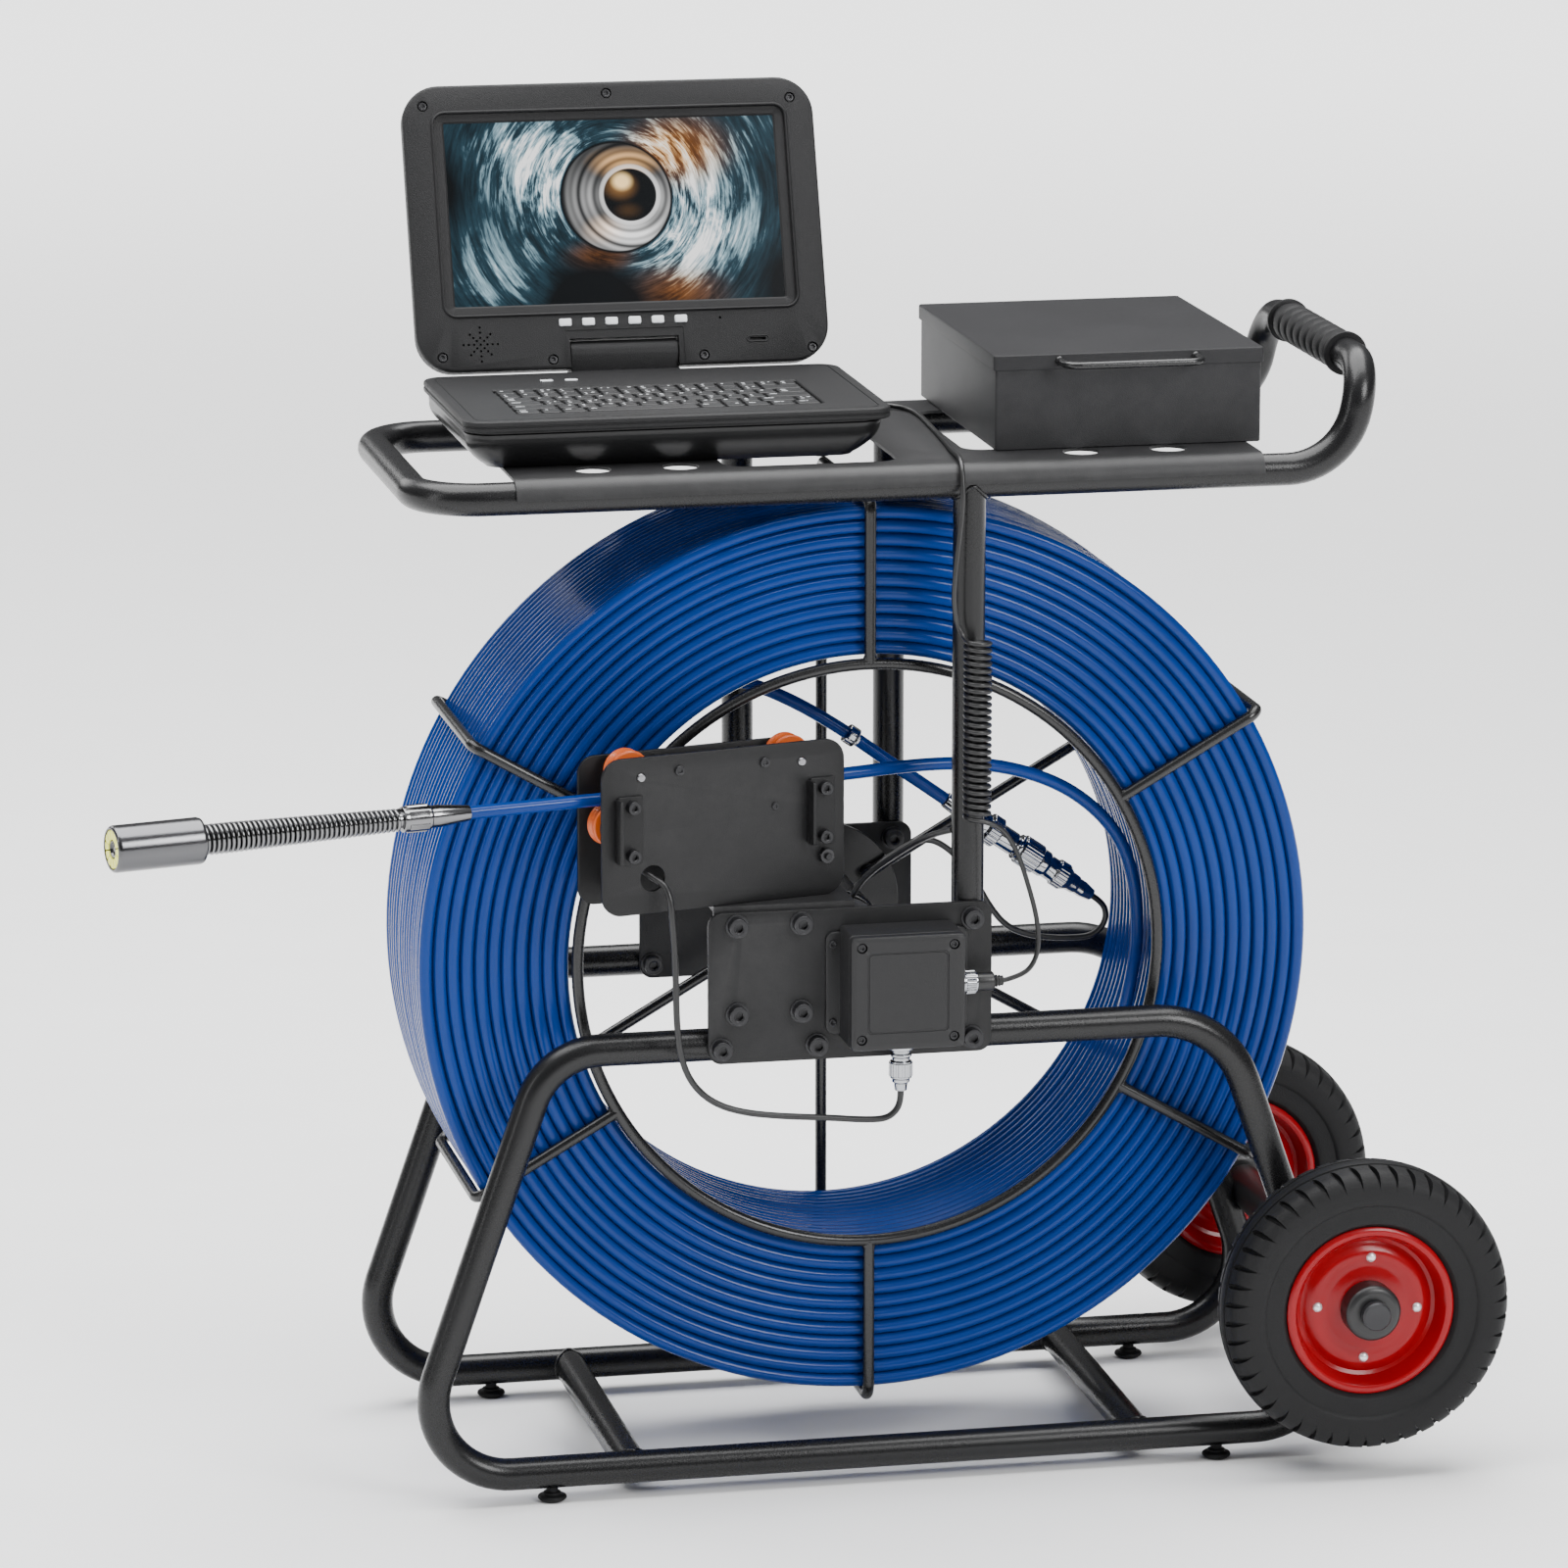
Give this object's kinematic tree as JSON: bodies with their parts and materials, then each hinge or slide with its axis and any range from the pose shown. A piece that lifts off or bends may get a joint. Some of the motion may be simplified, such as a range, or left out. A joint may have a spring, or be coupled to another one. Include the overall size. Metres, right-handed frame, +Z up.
{
  "type": "drain inspection camera reel",
  "caption": "Wheeled tube cart with a large reel of push cable, a roller guide, a camera head, a hinged monitor, a battery box and a distance counter.",
  "frame": {"origin": "on the floor, below the middle of the box of all the solids but the cables", "axes": "+X from the camera head to the wheels, +Y to the back (the screen faces -Y), +Z up"},
  "size_m": [0.9554, 0.427, 0.9251],
  "materials": {
    "frame_black": "satin powder coat",
    "sheet_black": "fine matt powder coat",
    "wire_black": "gloss paint",
    "bolt_black": "black oxide",
    "steel": "turned",
    "bright_steel": "polished",
    "foot_black": "matt",
    "grip_rubber": "matt",
    "tyre_rubber": "matt",
    "rim_red": "gloss",
    "monitor_black": "fine texture",
    "key_rubber": "matt",
    "display": "lit picture of a pipe",
    "button_white": "satin",
    "box_black": "matt",
    "counter_black": "moulded",
    "roller_orange": "satin",
    "cable_blue": "semi gloss sheath",
    "lead_black": "semi gloss sheath",
    "lens": "window with a lamp ring",
    "slip_grey": "moulded",
    "pack_grey": "shrink sleeve"
  },
  "bodies": {
    "cart": {"side_frames": "frame_black", "cross_tubes": "frame_black", "levelling_feet": "foot_black", "posts": "frame_black", "tray_loop": "frame_black", "tray_plate": "sheet_black", "handle_grip": "grip_rubber", "mid_plates": "sheet_black", "plate_fasteners": "bolt_black", "wheel_axle": "bolt_black", "reel_axle": "steel", "slip_ring": "slip_grey", "guide_shelf": "sheet_black", "guide_plates": "sheet_black", "guide_fasteners": "bolt_black", "encoder_housing": "counter_black", "head_body": "steel", "camera_lens": "lens", "head_spring": "bright_steel", "cable_ferrule": "steel", "push_cable": "cable_blue", "stator_cable": "lead_black", "encoder_cable": "lead_black", "monitor_lead": "lead_black", "curly_lead": "lead_black", "counter_plugs": "bright_steel", "monitor_tub": "monitor_black", "monitor_deck": "monitor_black", "hinge_pin": "steel", "box_body": "box_black", "lid_pins": "steel", "battery_pack": "pack_grey", "counter_box": "counter_black", "counter_cover": "counter_black"},
    "reel": {"reel_hub": "frame_black", "reel_cage": "wire_black", "cable_coil": "cable_blue", "tail_cable": "cable_blue", "tail_connector": "bright_steel", "signal_cable": "lead_black"},
    "wheel_front": {"tyre_front": "tyre_rubber", "rim_front": "rim_red"},
    "wheel_back": {"tyre_back": "tyre_rubber", "rim_back": "rim_red"},
    "screen": {"screen_bezel": "monitor_black", "screen_rear_cover": "monitor_black", "display_panel": "display"},
    "keys": {"keyboard_keys": "key_rubber"},
    "lid": {"box_lid": "box_black", "lid_handle": "wire_black"},
    "roller_1": {"guide_roller_1": "roller_orange"},
    "roller_2": {"guide_roller_2": "roller_orange"},
    "roller_3": {"guide_roller_3": "roller_orange"},
    "roller_4": {"guide_roller_4": "roller_orange"},
    "button_1": {"screen_button_1": "button_white"},
    "button_2": {"screen_button_2": "button_white"},
    "button_3": {"screen_button_3": "button_white"},
    "button_4": {"screen_button_4": "button_white"},
    "button_5": {"screen_button_5": "button_white"},
    "button_6": {"screen_button_6": "button_white"}
  },
  "joints": [
    {"name": "reel_spin", "type": "hinge", "parent": "cart", "child": "reel", "pos_m": [0.0543, 0.0046, 0.3572], "axis": [0, 1, 0], "continuous": true},
    {"name": "wheel_front_spin", "type": "hinge", "parent": "cart", "child": "wheel_front", "pos_m": [0.3778, -0.1679, 0.1195], "axis": [0, 1, 0], "continuous": true},
    {"name": "wheel_back_spin", "type": "hinge", "parent": "cart", "child": "wheel_back", "pos_m": [0.3778, 0.1771, 0.1195], "axis": [0, 1, 0], "continuous": true},
    {"name": "roller_1_spin", "type": "hinge", "parent": "cart", "child": "roller_1", "pos_m": [-0.12058, -0.11491, 0.5018], "axis": [-0.23, 0.9732, 0], "continuous": true},
    {"name": "roller_2_spin", "type": "hinge", "parent": "cart", "child": "roller_2", "pos_m": [-0.00633, -0.0879, 0.5018], "axis": [-0.23, 0.9732, 0], "continuous": true},
    {"name": "roller_3_spin", "type": "hinge", "parent": "cart", "child": "roller_3", "pos_m": [-0.13197, -0.1176, 0.4664], "axis": [-0.23, 0.9732, 0], "continuous": true},
    {"name": "roller_4_spin", "type": "hinge", "parent": "cart", "child": "roller_4", "pos_m": [0.00817, -0.08447, 0.4664], "axis": [-0.23, 0.9732, 0], "continuous": true},
    {"name": "screen_tilt", "type": "hinge", "parent": "cart", "child": "screen", "pos_m": [-0.0797, 0.10659, 0.746], "axis": [1, 0, 0], "range_deg": [-30, 110]},
    {"name": "keyboard_press", "type": "slide", "parent": "cart", "child": "keys", "axis": [0, 0, -1], "range_m": [0, 0.0015], "stiffness_N_per_m": 900, "springref_m": -0.001},
    {"name": "box_lid_hinge", "type": "hinge", "parent": "cart", "child": "lid", "pos_m": [0.22955, 0.1486, 0.757], "axis": [-1, 0, 0], "range_deg": [0, 100]},
    {"name": "button_1_press", "type": "slide", "parent": "screen", "child": "button_1", "axis": [0, 0.9397, -0.342], "range_m": [0, 0.0008], "stiffness_N_per_m": 600, "springref_m": -0.0005},
    {"name": "button_2_press", "type": "slide", "parent": "screen", "child": "button_2", "axis": [0, 0.9397, -0.342], "range_m": [0, 0.0008], "stiffness_N_per_m": 600, "springref_m": -0.0005},
    {"name": "button_3_press", "type": "slide", "parent": "screen", "child": "button_3", "axis": [0, 0.9397, -0.342], "range_m": [0, 0.0008], "stiffness_N_per_m": 600, "springref_m": -0.0005},
    {"name": "button_4_press", "type": "slide", "parent": "screen", "child": "button_4", "axis": [0, 0.9397, -0.342], "range_m": [0, 0.0008], "stiffness_N_per_m": 600, "springref_m": -0.0005},
    {"name": "button_5_press", "type": "slide", "parent": "screen", "child": "button_5", "axis": [0, 0.9397, -0.342], "range_m": [0, 0.0008], "stiffness_N_per_m": 600, "springref_m": -0.0005},
    {"name": "button_6_press", "type": "slide", "parent": "screen", "child": "button_6", "axis": [0, 0.9397, -0.342], "range_m": [0, 0.0008], "stiffness_N_per_m": 600, "springref_m": -0.0005}
  ]
}
